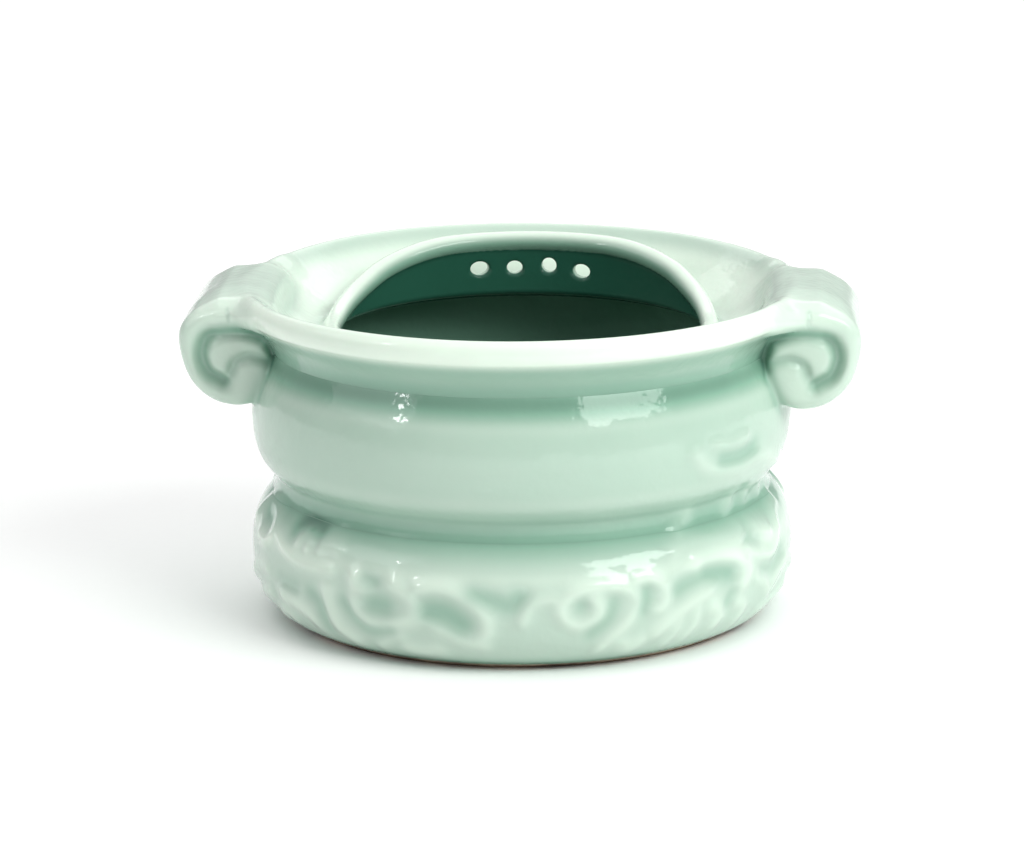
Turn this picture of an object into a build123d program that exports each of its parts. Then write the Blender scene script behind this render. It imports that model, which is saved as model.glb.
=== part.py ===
from build123d import *
import os
from math import cos, radians, sin

os.makedirs("parts", exist_ok=True)

# A celadon brush pot: two cast wall sections luted at a waist seam, closed below by a floor on an
# unglazed foot ring and above by a dished rim with a raised, pierced collar round the mouth.
# Two scroll handles stand at the left (-X) and the right (+X). The collar's high, pierced wall is at
# the back (+Y).

# ---- Driving dimensions, in millimetres and degrees ----

# foot and floor
foot_radius = 47.3  # outer edge of the face that the pot rests on
foot_width = 6.3
foot_height = 1.2
foot_flare = 2.0  # how far the foot's side leans out over its height
floor_thickness = 3.0

# lower section, with its moulded clouds
wall = 3.0
lower_height = 26.5  # from the ground to the waist seam
belly_radius = 55.0  # widest wall, without the clouds
belly_height = 14.5
seam_radius = 51.4
cloud_rise = 1.0  # how far the cloud ridges stand out of the wall
cloud_width = 2.4
cloud_count = 12
cloud_radius = 5.4  # outermost turn of one cloud scroll
cloud_stagger = 2.5  # height of every other cloud above and below the middle
cloud_height = 13.0

# upper section
upper_height = 29.5  # from the waist seam to the neck
waist_radius = 50.9
waist_rise = 1.8  # from the seam to the bottom of the waist groove
drum_radius = 55.0
drum_flat = 13.0  # height of the drum's nearly upright face
drum_shoulder = 0.5  # how much the ends of that face draw in
drum_drop = 5.0  # from the top of that face down to the neck
neck_radius = 52.6

# rim and dish
rim_radius = 58.0
rim_rise = 12.5  # from the neck to the crest of the rim
bead_radius = 2.6
gutter_rise = 3.0  # from the neck to the bottom of the dish
gutter_width = 3.6  # flat bottom of the dish beside the collar
dish_wall = 2.2

# collar round the mouth
collar_radius = 40.2
collar_wall = 2.8
collar_back_rise = 2.6  # lip at the back above the crest of the rim
collar_front_rise = 1.4  # lip at the front above the bottom of the dish
drain_count = 4
drain_diameter = 3.6
drain_pitch = 7.9  # between neighbouring holes, along the wall
drain_rise = 4.3  # centres of the holes above the bottom of the dish

# handles
scroll_height = 21.0
scroll_depth = 34.0
scroll_overhang = 10.4  # how far the scroll stands out beyond the rim
scroll_bite = 4.0  # how far its inner edge lies behind the face of the drum
scroll_drop = 1.0  # top of the scroll under the crest of the rim
scroll_round = 2.4
scroll_groove = 2.2  # width of the carved spiral
scroll_groove_depth = 2.0
lug_reach = 7.5  # how far the rim's lug runs in over the dish from the rim
lug_thickness = 4.0
lug_drop = 0.7  # top of the lug under the crest of the rim

# ---- Places that follow from them ----

floor_radius = foot_radius - foot_width / 2
floor_top = foot_height + floor_thickness
neck_height = lower_height + upper_height
rim_top = neck_height + rim_rise
gutter_height = neck_height + gutter_rise
scroll_width = rim_radius + scroll_overhang - (drum_radius - scroll_bite)
scroll_x = rim_radius + scroll_overhang - scroll_width / 2
scroll_z = rim_top - scroll_drop - scroll_height / 2

foot_shoulder = (foot_radius + foot_flare, foot_height)
belly = (belly_radius, belly_height)
belly_low = (belly_radius - 1.6, (belly_height + foot_height) / 2 - 1.0)
seam = (seam_radius, lower_height)
waist = (waist_radius, lower_height + waist_rise)
drum_low = (drum_radius - drum_shoulder, neck_height - drum_drop - drum_flat)
drum_middle = (drum_radius, neck_height - drum_drop - drum_flat / 2)
drum_high = (drum_radius - drum_shoulder, neck_height - drum_drop)
neck = (neck_radius, neck_height)
waist_slope = ((waist[0] + drum_low[0]) / 2, waist[1] + (drum_low[1] - waist[1]) * 0.45)
bead_low = (rim_radius - bead_radius, rim_top - 2 * bead_radius)
bead_side = (rim_radius, rim_top - bead_radius)
bead_top = (rim_radius - bead_radius, rim_top)
gutter_edge = (collar_radius + gutter_width, gutter_height)
gutter_end = (collar_radius, gutter_height)
dish_under = (collar_radius, gutter_height - dish_wall)
neck_inside = (neck_radius - wall, neck_height)


def inward(point, depth):
    """The point moved towards the axis by the depth."""
    return (point[0] - depth, point[1])


def lower_outside(rise):
    """Outside line of the lower section, from its seat up to the seam, moved out by the rise."""
    points = [inward(point, -rise) for point in (foot_shoulder, belly_low, belly, seam)]
    return Spline(*points, tangents=((0.8, 1), (-0.8, 1)))


def upper_outside():
    """Outside line of the upper section, from the seam over groove and drum up to the neck."""
    return Spline(seam, waist, waist_slope, drum_low, drum_middle, drum_high, neck)


def rim_outside():
    """Outside line of the rim, from the neck up the cove and round the bead to its crest."""
    Spline(neck, bead_low, tangents=((0.1, 1), (1, 0.7)))
    RadiusArc(bead_low, bead_side, -bead_radius)
    RadiusArc(bead_side, bead_top, -bead_radius)


def dish_top():
    """Line of the dish, from the crest of the rim down to the foot of the collar."""
    dish_width = bead_top[0] - gutter_edge[0]
    dish_depth = rim_top - gutter_height
    Bezier(
        bead_top,
        (bead_top[0] - dish_width * 0.2, rim_top - dish_depth * 0.08),
        (gutter_edge[0] + dish_width * 0.35, gutter_height + dish_depth * 0.12),
        gutter_edge,
    )
    Line(gutter_edge, gutter_end)


def cloud_line(size, hand):
    """Spiral line of one cloud: a tail that runs in, and arcs that tighten as they wind."""
    tail = JernArc((-size * 2.1, -size * 0.7 * hand), (1, -0.3 * hand), size * 2.2, 45 * hand)
    first = JernArc(tail @ 1, tail % 1, size, 150 * hand)
    second = JernArc(first @ 1, first % 1, size * 0.75, 130 * hand)
    third = JernArc(second @ 1, second % 1, size * 0.42, 150 * hand)
    return tail, first, second, third


def handle_line():
    """Line of the carved spiral on the end of the right handle, winding in clockwise."""
    start = (scroll_x - scroll_width * 0.3, scroll_z)
    first = JernArc(start, (0, 1), scroll_width * 0.31, -180)
    second = JernArc(first @ 1, first % 1, scroll_width * 0.25, -180)
    third = JernArc(second @ 1, second % 1, scroll_width * 0.16, -150)
    return first, second, third


def spiral_band(arcs, width):
    """Band of one width along a line of arcs, with round ends, added to the open sketch."""
    for arc in arcs:
        SlotArc(arc, width)


# ---- Foot ring: the unglazed ring that stands on the table ----

with BuildPart() as foot_ring:
    with BuildSketch(Plane.XZ):
        with BuildLine():
            Polyline(
                (foot_radius - foot_width, 0),
                (foot_radius, 0),
                foot_shoulder,
                (foot_radius - foot_width, foot_height),
                close=True,
            )
        make_face()
    revolve(axis=Axis.Z)

foot_ring.part.label = "foot_ring"
export_step(foot_ring.part, "parts/foot_ring.step")

# ---- Floor: the disc that closes the pot, standing clear of the table inside the ring ----

with BuildPart() as floor_disc:
    with BuildSketch(Plane.XY.offset(foot_height)):
        Circle(floor_radius)
    extrude(amount=floor_thickness)

floor_disc.part.label = "floor_disc"
export_step(floor_disc.part, "parts/floor_disc.step")

# ---- Lower section: the bulging wall with its clouds ----

with BuildPart() as cloud_shell:
    with BuildSketch(Plane.XZ):
        with BuildLine():
            lower_outside(0)
            Line(seam, inward(seam, -cloud_rise))
            lower_outside(cloud_rise)
            Line(inward(foot_shoulder, -cloud_rise), foot_shoulder)
        make_face()
    revolve(axis=Axis.Z)

with BuildPart() as clouds:
    for index in range(cloud_count):
        hand = 1 if index % 2 else -1
        turn = radians(index * 360 / cloud_count)
        facing = Vector(cos(turn), sin(turn), 0)
        centre = facing * floor_radius + Vector(0, 0, cloud_height + cloud_stagger * hand)
        with BuildSketch(Plane(centre, x_dir=(-sin(turn), cos(turn), 0), z_dir=facing)):
            with BuildLine(mode=Mode.PRIVATE):
                scroll_arcs = cloud_line(cloud_radius, hand)
            spiral_band(scroll_arcs, cloud_width)
        extrude(amount=belly_radius)
    add(cloud_shell.part, mode=Mode.INTERSECT)

with BuildPart() as lower_section:
    with BuildSketch(Plane.XZ):
        with BuildLine():
            lower_outside(0)
            Line(seam, inward(seam, wall))
            Spline(
                inward(seam, wall),
                inward(belly, wall),
                (floor_radius, floor_top),
                tangents=((0.8, -1), (-1, -0.1)),
            )
            Polyline((floor_radius, floor_top), (floor_radius, foot_height), foot_shoulder)
        make_face()
    revolve(axis=Axis.Z)
    add(clouds.part)

lower_section.part.label = "lower_section"
export_step(lower_section.part, "parts/lower_section.step")

# ---- Upper section: the waist groove, the drum and the drawn-in neck ----

with BuildPart() as upper_section:
    with BuildSketch(Plane.XZ):
        with BuildLine():
            upper_outside()
            Line(neck, neck_inside)
            Spline(
                neck_inside,
                inward(drum_high, wall),
                inward(drum_middle, wall),
                inward(drum_low, wall),
                inward(waist_slope, wall),
                inward(waist, wall),
                inward(seam, wall),
            )
            Line(inward(seam, wall), seam)
        make_face()
    revolve(axis=Axis.Z)

upper_section.part.label = "upper_section"
export_step(upper_section.part, "parts/upper_section.step")

# ---- Rim: the cove, the bead, the dish and a lug over each handle ----

with BuildPart() as rim_dish:
    with BuildSketch(Plane.XY.offset(rim_top - lug_drop)):
        Rectangle(2 * scroll_x, scroll_depth - 2 * scroll_round)
        Circle(rim_radius - lug_reach, mode=Mode.SUBTRACT)
    extrude(amount=-lug_thickness)
    with BuildSketch(Plane.XZ):
        with BuildLine():
            rim_outside()
            dish_top()
            Line(gutter_end, dish_under)
            Bezier(
                dish_under,
                ((collar_radius + neck_inside[0]) / 2, gutter_height - dish_wall * 0.2),
                neck_inside,
            )
            Line(neck_inside, neck)
        make_face()
    revolve(axis=Axis.Z)

rim_dish.part.label = "rim_dish"
export_step(rim_dish.part, "parts/rim_dish.step")

# ---- Collar: the upright wall round the mouth, high and pierced at the back ----

lip_front = gutter_height + collar_front_rise
lip_back = rim_top + collar_back_rise
collar_inside = collar_radius - collar_wall

with BuildPart() as mouth_collar:
    with BuildSketch(Plane.XY.offset(gutter_height - dish_wall)):
        Circle(collar_radius)
        Circle(collar_inside, mode=Mode.SUBTRACT)
    extrude(amount=lip_back - gutter_height + dish_wall + collar_wall)
    with BuildSketch(Plane.YZ):
        with BuildLine():
            Line((-2 * collar_radius, lip_front), (-0.05 * collar_radius, lip_front))
            Bezier(
                (-0.05 * collar_radius, lip_front),
                (0.42 * collar_radius, lip_front),
                (0.6 * collar_radius, lip_back),
                (1.1 * collar_radius, lip_back),
            )
            Polyline(
                (1.1 * collar_radius, lip_back),
                (1.1 * collar_radius, lip_back + 4 * collar_wall),
                (-2 * collar_radius, lip_back + 4 * collar_wall),
                (-2 * collar_radius, lip_front),
            )
        make_face()
    extrude(amount=2 * collar_radius, both=True, mode=Mode.SUBTRACT)
    lip_edges = edges().filter_by_position(Axis.Z, lip_front - 0.1, lip_back + 0.1)
    fillet(lip_edges.filter_by(GeomType.LINE, reverse=True), radius=0.42 * collar_wall)
    drain_height = gutter_height + drain_rise
    for index in range(drain_count):
        turn = (index - (drain_count - 1) / 2) * drain_pitch / collar_radius
        facing = Vector(sin(turn), cos(turn), 0)
        with BuildSketch(Plane((0, 0, drain_height), z_dir=facing)):
            Circle(drain_diameter / 2)
        extrude(amount=collar_radius + collar_wall, mode=Mode.SUBTRACT)

mouth_collar.part.label = "mouth_collar"
export_step(mouth_collar.part, "parts/mouth_collar.step")

# ---- Scroll handles: barrels that lie front to back, with a spiral on each end ----

with BuildPart() as wall_envelope:
    with BuildSketch(Plane.XZ):
        with BuildLine():
            upper_outside()
            rim_outside()
            Polyline(bead_top, (0, rim_top), (0, lower_height), seam)
        make_face()
    revolve(axis=Axis.Z)

with BuildPart() as right_scroll_handle:
    with BuildSketch(Plane.XZ):
        with Locations((scroll_x, scroll_z)):
            Ellipse(scroll_width / 2, scroll_height / 2)
    extrude(amount=scroll_depth / 2, both=True)
    fillet(edges().filter_by(GeomType.ELLIPSE), radius=scroll_round)
    for face_offset in (scroll_depth / 2, scroll_groove_depth - scroll_depth / 2):
        with BuildSketch(Plane.XZ.offset(face_offset)):
            with BuildLine(mode=Mode.PRIVATE):
                groove_arcs = handle_line()
            spiral_band(groove_arcs, scroll_groove)
        extrude(amount=-scroll_groove_depth, mode=Mode.SUBTRACT)
    add(wall_envelope.part, mode=Mode.SUBTRACT)
    add(rim_dish.part, mode=Mode.SUBTRACT)

right_scroll_handle.part.label = "right_scroll_handle"
export_step(right_scroll_handle.part, "parts/right_scroll_handle.step")

with BuildPart() as left_scroll_handle:
    mirror(right_scroll_handle.part, about=Plane.YZ)

left_scroll_handle.part.label = "left_scroll_handle"
export_step(left_scroll_handle.part, "parts/left_scroll_handle.step")
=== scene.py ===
import math
from functools import partial

import bpy
import numpy as np
from mathutils import Matrix, Vector


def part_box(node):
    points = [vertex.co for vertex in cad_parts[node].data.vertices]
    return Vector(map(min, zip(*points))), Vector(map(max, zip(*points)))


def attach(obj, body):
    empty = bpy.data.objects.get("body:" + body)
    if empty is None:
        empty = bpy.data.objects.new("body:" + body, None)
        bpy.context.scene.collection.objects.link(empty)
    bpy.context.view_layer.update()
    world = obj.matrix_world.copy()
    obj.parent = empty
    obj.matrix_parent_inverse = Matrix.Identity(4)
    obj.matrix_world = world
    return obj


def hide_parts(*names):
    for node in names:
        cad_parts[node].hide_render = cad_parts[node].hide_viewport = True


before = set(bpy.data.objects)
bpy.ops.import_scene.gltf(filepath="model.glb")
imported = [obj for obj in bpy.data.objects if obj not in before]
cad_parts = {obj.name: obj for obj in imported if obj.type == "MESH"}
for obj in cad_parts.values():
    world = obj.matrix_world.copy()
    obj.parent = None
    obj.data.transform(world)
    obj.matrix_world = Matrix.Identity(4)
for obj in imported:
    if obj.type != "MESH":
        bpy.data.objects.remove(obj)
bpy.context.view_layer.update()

bl_info = {
    "name": "Celadon brush pot",
    "version": (1, 0, 0),
    "blender": (4, 5, 0),
    "location": "View3D > Sidebar > Brush Pot",
    "description": "Builds the glazed skins of a celadon brush pot round its packed solids",
    "category": "Add Mesh",
}

MM = 0.001


def extents(node):
    """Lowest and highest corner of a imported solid, in millimetres."""
    low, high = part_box(node)
    return np.array(low) / MM, np.array(high) / MM


FOOT_RADIUS, _, FOOT_HEIGHT = extents("foot_ring")[1].tolist()
FLOOR_RADIUS, _, FLOOR_TOP = extents("floor_disc")[1].tolist()
SEAM_Z = float(extents("lower_section")[1][2])
DRUM_RADIUS, _, NECK_Z = extents("upper_section")[1].tolist()
_, RIM_RADIUS, RIM_TOP = extents("rim_dish")[1].tolist()
COLLAR_LOW, COLLAR_HIGH = extents("mouth_collar")
HANDLE_LOW, HANDLE_HIGH = extents("right_scroll_handle")
COLLAR_RADIUS = float(COLLAR_HIGH[0])
COLLAR_FOOT = float(COLLAR_LOW[2])

# The belly is as wide as the drum, and the seam and the neck are drawn in from them.
BELLY_RADIUS = DRUM_RADIUS
SEAM_RADIUS = DRUM_RADIUS - 3.6
NECK_RADIUS = DRUM_RADIUS - 3.5
# Bottom of the gutter between dish and collar, and the height above which the rim's crest may settle.
GUTTER_Z = NECK_Z + 3.0
SETTLE_Z = NECK_Z + 6.0


# ---- Sizes and colours that a user would change ----


def size_of(name, description, default, low, high):
    """A length in millimetres, as a property."""
    return bpy.props.FloatProperty(
        name=name, description=description, default=default, min=low, max=high, precision=2
    )


def colour_of(name, description, hex_value):
    """A colour given as sRGB hex, as a property that holds its linear values."""
    return bpy.props.FloatVectorProperty(
        name=name, description=description, default=linear(hex_value), size=4, subtype="COLOR", min=0, max=1
    )


def linear(hex_value):
    """Linear RGBA of an sRGB hex colour: each channel is undone from the sRGB curve."""
    channels = [int(hex_value[i : i + 2], 16) / 255 for i in (1, 3, 5)]
    return tuple(c / 12.92 if c <= 0.04045 else ((c + 0.055) / 1.055) ** 2.4 for c in channels) + (1.0,)


class BrushPotShape(bpy.types.PropertyGroup):
    wall: size_of("Wall", "Thickness of the cast wall, mm", 3.0, 1.5, 6.0)
    relief: size_of("Relief", "Height of the moulded clouds, mm", 0.95, 0.0, 2.0)
    ghost: size_of("Ghost relief", "Depth of the clouds' print on the inside, mm", 0.35, 0.0, 1.0)
    handle_blend: size_of("Handle fillet", "Reach of the slip that joins a handle, mm", 2.4, 0.5, 5.0)
    collar_blend: size_of("Collar fillet", "Reach of the fillet at the foot of the collar, mm", 2.4, 0.5, 5.0)
    groove_depth: size_of("Scroll depth", "Depth of the spiral in a handle's ends, mm", 2.3, 0.5, 4.0)
    drain: size_of("Drain hole", "Diameter of a hole in the collar, mm", 3.5, 2.0, 5.0)


class BrushPotGlaze(bpy.types.PropertyGroup):
    # Besides the depth of the glaze, the pooled and inside colours stand for painted shade inside the pot,
    # under the collar's lip, in the cove, below the neck and under the handles, and the thin colour for
    # painted light on the dish, the lugs' top edges and the drain holes.
    thin: colour_of("Thin glaze", "Over ridges and lips, where the glaze runs thin", "#EAF6E9")
    even: colour_of("Even glaze", "Over plain walls", "#BED1C4")
    pooled: colour_of("Pooled glaze", "In creases and hollows, where the glaze lies deep", "#86AC99")
    inside: colour_of("Inside glaze", "Inside the pot, where the glaze is thickest", "#275848")
    biscuit: colour_of("Biscuit", "Unglazed porcelain of the foot", "#B09A86")
    scorch: colour_of("Scorch", "Edge of the biscuit, browned in the kiln", "#5F4A3C")


# ---- Curves and distances ----


def smooth(low, high, value):
    """Smooth step: 0 below low, 1 above high, and 3t^2 - 2t^3 between them."""
    t = np.clip((value - low) / (high - low), 0.0, 1.0)
    return t * t * (3 - 2 * t)


def hump(value, middle, width):
    """Bell curve: 1 at the middle, exp(-1) at a width from it."""
    return np.exp(-(((value - middle) / width) ** 2))


def curve_through(points, count):
    """Catmull-Rom cubic through the points, read at count places evenly spaced along its length."""
    p = np.asarray(points, float)
    ends = np.vstack([2 * p[0] - p[1], p, 2 * p[-1] - p[-2]])

    def read(t):
        i = np.minimum(t.astype(int), len(p) - 2)
        f = (t - i)[:, None]
        a, b, c, d = ends[i], ends[i + 1], ends[i + 2], ends[i + 3]
        bend, twist = 2 * a - 5 * b + 4 * c - d, 3 * b - a - 3 * c + d
        return 0.5 * (2 * b + (c - a) * f + bend * f**2 + twist * f**3)

    t = np.linspace(0, len(p) - 1, 40 * (len(p) - 1) + 1)
    length = np.r_[0, np.cumsum(np.linalg.norm(np.diff(read(t), axis=0), axis=1))]
    return read(np.interp(np.linspace(0, length[-1], count), length, t))


def line_distance(line, u, v):
    """Distance from each place (u, v) to an open polyline: the least over its straight pieces."""
    best = np.full(np.shape(u), 1e9)
    for a, b in zip(line[:-1], line[1:]):
        step = b - a
        t = ((u - a[0]) * step[0] + (v - a[1]) * step[1]) / max(step @ step, 1e-12)
        t = np.clip(t, 0, 1)
        best = np.minimum(best, np.hypot(u - a[0] - t * step[0], v - a[1] - t * step[1]))
    return best


def loop_distance(loop, u, v):
    """Signed distance to a closed polyline, negative inside it, by counting crossings."""
    inside = np.zeros(np.shape(u), bool)
    closed = np.vstack([loop, loop[:1]])
    for a, b in zip(closed[:-1], closed[1:]):
        if a[1] != b[1]:
            crosses = (a[1] > v) != (b[1] > v)
            inside ^= crosses & (u < (b[0] - a[0]) * (v - a[1]) / (b[1] - a[1]) + a[0])
    return np.where(inside, -1, 1) * line_distance(closed, u, v)


TABLE_STEP = 0.2


def table_of(measure, low, high, step):
    """A measure of the plane, worked out once on a grid, and read back by bicubic weights."""
    us = np.arange(low[0], high[0] + step, step)
    vs = np.arange(low[1], high[1] + step, step)
    values = measure(*np.meshgrid(us, vs, indexing="ij"))

    def weights(f):
        return (
            0.5 * (-f + 2 * f**2 - f**3),
            0.5 * (2 - 5 * f**2 + 3 * f**3),
            0.5 * (f + 4 * f**2 - 3 * f**3),
            0.5 * (-(f**2) + f**3),
        )

    def read(u, v):
        fu = np.clip((u - low[0]) / step, 1, len(us) - 2.001)
        fv = np.clip((v - low[1]) / step, 1, len(vs) - 2.001)
        i, j = fu.astype(int), fv.astype(int)
        wu, wv = weights(fu - i), weights(fv - j)
        total = 0.0
        for m in range(4):
            for n in range(4):
                total = total + wu[m] * wv[n] * values[i + m - 1, np.minimum(j + n - 1, len(vs) - 1)]
        return total

    return read


def soft_union(a, b, reach):
    """Union of two fields with a cubic fillet where both are nearer than the reach."""
    h = np.maximum(reach - np.abs(a - b), 0) / reach
    return np.minimum(a, b) - h**3 * reach / 6


def soft_cut(a, b, reach):
    """Field a with field b cut away, and the edge of the cut rounded by the same cubic."""
    return -soft_union(-a, b, reach)


# ---- Meshes ----


def put_mesh(name, points, faces, normals, attributes, material):
    """Makes the object: points in mm, quads or triangles by index, a normal for each face corner."""
    mesh = bpy.data.meshes.new(name)
    sizes = np.concatenate([np.full(len(f), f.shape[1]) for f in faces])
    corners = np.concatenate([f.ravel() for f in faces])
    mesh.vertices.add(len(points))
    mesh.vertices.foreach_set("co", (points * MM).astype(np.float32).ravel())
    mesh.loops.add(len(corners))
    mesh.loops.foreach_set("vertex_index", corners.astype(np.int32))
    mesh.polygons.add(len(sizes))
    mesh.polygons.foreach_set("loop_start", np.r_[0, np.cumsum(sizes)[:-1]].astype(np.int32))
    mesh.polygons.foreach_set("use_smooth", np.ones(len(sizes), bool))
    for key, values in attributes.items():
        layer = mesh.attributes.new(key, "FLOAT", "POINT")
        layer.data.foreach_set("value", values.astype(np.float32))
    mesh.update(calc_edges=True)
    mesh.validate()
    mesh.normals_split_custom_set(normals)
    mesh.materials.append(material)
    piece = bpy.data.objects.new(name, mesh)
    bpy.context.scene.collection.objects.link(piece)
    return piece


def unit(vectors):
    """Vectors at length one."""
    return vectors / np.maximum(np.linalg.norm(vectors, axis=-1, keepdims=True), 1e-12)


def turned_piece(name, lines, columns, material):
    """A closed skin turned about the pot's axis.

    Each line is a function of the turn that gives radius, height and glaze depth along it, as rows
    by columns. A line ends where the next begins, and the loop runs up the outside and down the
    inside, so the turn's tangent crossed with the line's tangent points outwards. A loop that
    starts and ends on the axis gets one point at each pole.
    """
    turn = np.arange(columns) * 2 * np.pi / columns
    rows, pools, grids, starts = [], [], [], []
    count = 0
    for line in lines:
        radius, height, glaze_depth_and_painted_light = line(turn[None, :])
        grid = np.stack([radius * np.cos(turn), radius * np.sin(turn), height + 0 * radius], axis=-1)
        grids.append(grid)
        rows.append(grid[:-1])
        pools.append(np.broadcast_to(glaze_depth_and_painted_light, radius.shape)[:-1])
        starts.append(count)
        count += len(grid) - 1
    poles = bool(np.all(grids[0][0, :, :2] == 0))
    if poles:
        rows.append(grids[-1][-1:])
        pools.append(np.zeros((1, columns)))
        count += 1
    points = np.concatenate(rows).reshape(-1, 3)
    glaze_depth_and_painted_light = np.concatenate(pools).ravel()
    quads, normals = [], []
    for grid, start in zip(grids, starts):
        along = np.gradient(grid, axis=0)
        around = np.roll(grid, -1, axis=1) - np.roll(grid, 1, axis=1)
        flat = np.linalg.norm(around, axis=-1) < 1e-9
        normal = unit(np.cross(around, along))
        normal[flat] = normal[np.roll(flat, 1, axis=0) | np.roll(flat, -1, axis=0)][0] if flat.any() else 0
        first = np.arange(len(grid) - 1)[:, None]
        column = np.arange(columns)[None, :]
        right = (column + 1) % columns
        here, above = (first + start) * columns, (first + 1 + start) % count * columns
        corners = [here + column, here + right, above + right, above + column]
        quads.append(np.stack(corners, axis=-1).reshape(-1, 4))
        here_n, above_n = normal[:-1], normal[1:]
        sides = [here_n, here_n[:, right[0]], above_n[:, right[0]], above_n]
        normals.append(np.stack(sides, axis=2).reshape(-1, 4, 3))
    quads, normals = np.concatenate(quads), np.concatenate(normals)
    faces, corner_normals = [quads], [normals.reshape(-1, 3)]
    if poles:
        low, high = quads[:columns], quads[-columns:]
        low_n, high_n = normals[:columns], normals[-columns:]
        middle, middle_n = quads[columns:-columns], normals[columns:-columns]
        bottom = np.column_stack([np.zeros(columns, int), low[:, 2], low[:, 3]])
        top = np.column_stack([high[:, 0], high[:, 1], np.full(columns, (count - 1) * columns)])
        faces = [middle, bottom, top]
        corner_normals = [
            middle_n.reshape(-1, 3),
            np.stack([low_n[:, 2], low_n[:, 2], low_n[:, 3]], axis=1).reshape(-1, 3),
            np.stack([high_n[:, 0], high_n[:, 1], high_n[:, 1]], axis=1).reshape(-1, 3),
        ]
        used = np.unique(np.concatenate([f.ravel() for f in faces]))
        renumber = np.full(len(points), -1)
        renumber[used] = np.arange(len(used))
        faces = [renumber[f] for f in faces]
        points, glaze_depth_and_painted_light = points[used], glaze_depth_and_painted_light[used]
    return put_mesh(name, points, faces, np.concatenate(corner_normals), {"glaze_depth_and_painted_light": glaze_depth_and_painted_light}, material)


def slope(field, p, step=0.04):
    """Gradient of a field at the points, by central differences."""
    result = np.empty_like(p)
    for k in range(3):
        ahead, behind = p.copy(), p.copy()
        ahead[:, k] += step
        behind[:, k] -= step
        result[:, k] = (field(*ahead.T) - field(*behind.T)) / (2 * step)
    return result


def skin_of(field, low, high, step):
    """Closed skin where a field is zero, as points and quads.

    Each grid cell that the skin passes through gets one point, at the middle of the places where
    the field changes sign on the cell's edges, and each such edge joins its four cells in a quad.
    The points are then drawn onto the skin itself by Newton steps along the field's gradient.
    """
    axes = [np.arange(a, b + step, step) for a, b in zip(low, high)]
    value = field(*np.meshgrid(*axes, indexing="ij"))
    cells = np.array(value.shape) - 1
    total = np.zeros((int(np.prod(cells)), 3))
    hits = np.zeros(len(total))
    edges = []
    for k in range(3):
        a = np.take(value, range(value.shape[k] - 1), axis=k)
        b = np.take(value, range(1, value.shape[k]), axis=k)
        place = np.argwhere((a < 0) != (b < 0))
        key = tuple(place.T)
        at = place.astype(float)
        at[:, k] += a[key] / (a[key] - b[key])
        around = []
        for m, n in ((-1, -1), (0, -1), (0, 0), (-1, 0)):
            cell = place.copy()
            cell[:, (k + 1) % 3] += m
            cell[:, (k + 2) % 3] += n
            around.append(np.ravel_multi_index(tuple(cell.T), cells))
            for c in range(3):
                total[:, c] += np.bincount(around[-1], at[:, c], len(total))
            hits += np.bincount(around[-1], minlength=len(total))
        quad = np.stack(around, axis=-1)
        quad[a[key] > 0] = quad[a[key] > 0][:, ::-1]
        edges.append(quad)
    used = np.flatnonzero(hits)
    number = np.full(len(total), -1)
    number[used] = np.arange(len(used))
    points = np.array(low) + step * total[used] / hits[used, None]
    for _ in range(5):
        gradient = slope(field, points)
        size = np.maximum((gradient**2).sum(1), 0.05)
        move = gradient * (field(*points.T) / size)[:, None]
        reach = np.linalg.norm(move, axis=1, keepdims=True)
        points = points - move * np.minimum(1, 0.5 * step / np.maximum(reach, 1e-9))
    return points, number[np.concatenate(edges)]


def luted_piece(name, part, body, reach, low, high, step, glaze_depth_and_painted_light):
    """A piece joined to the body with slip: the skin of the two together, kept to the part's side.

    The fillet lies on the body's face and sinks into it where it has run out. Underneath, the
    piece goes a little way into the wall, so that its skin is closed.
    """
    into_wall = 1.4

    def together(x, y, z):
        return soft_union(body(x, y, z), part(x, y, z), reach(z))

    def closed(x, y, z):
        b, p, r = body(x, y, z), part(x, y, z), reach(z)
        sink = 0.33 * smooth(0.82 * r, 1.05 * r, p) - 0.02
        return np.maximum(np.maximum(soft_union(b, p, r) + sink, -b - into_wall), p - r)

    points, quads = skin_of(closed, low, high, step)
    normal = unit(slope(together, points))
    return put_mesh(name, points, [quads], normal[quads.ravel()], {"glaze_depth_and_painted_light": glaze_depth_and_painted_light(*points.T)}, glaze_of())


# ---- The clouds in relief ----

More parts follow.
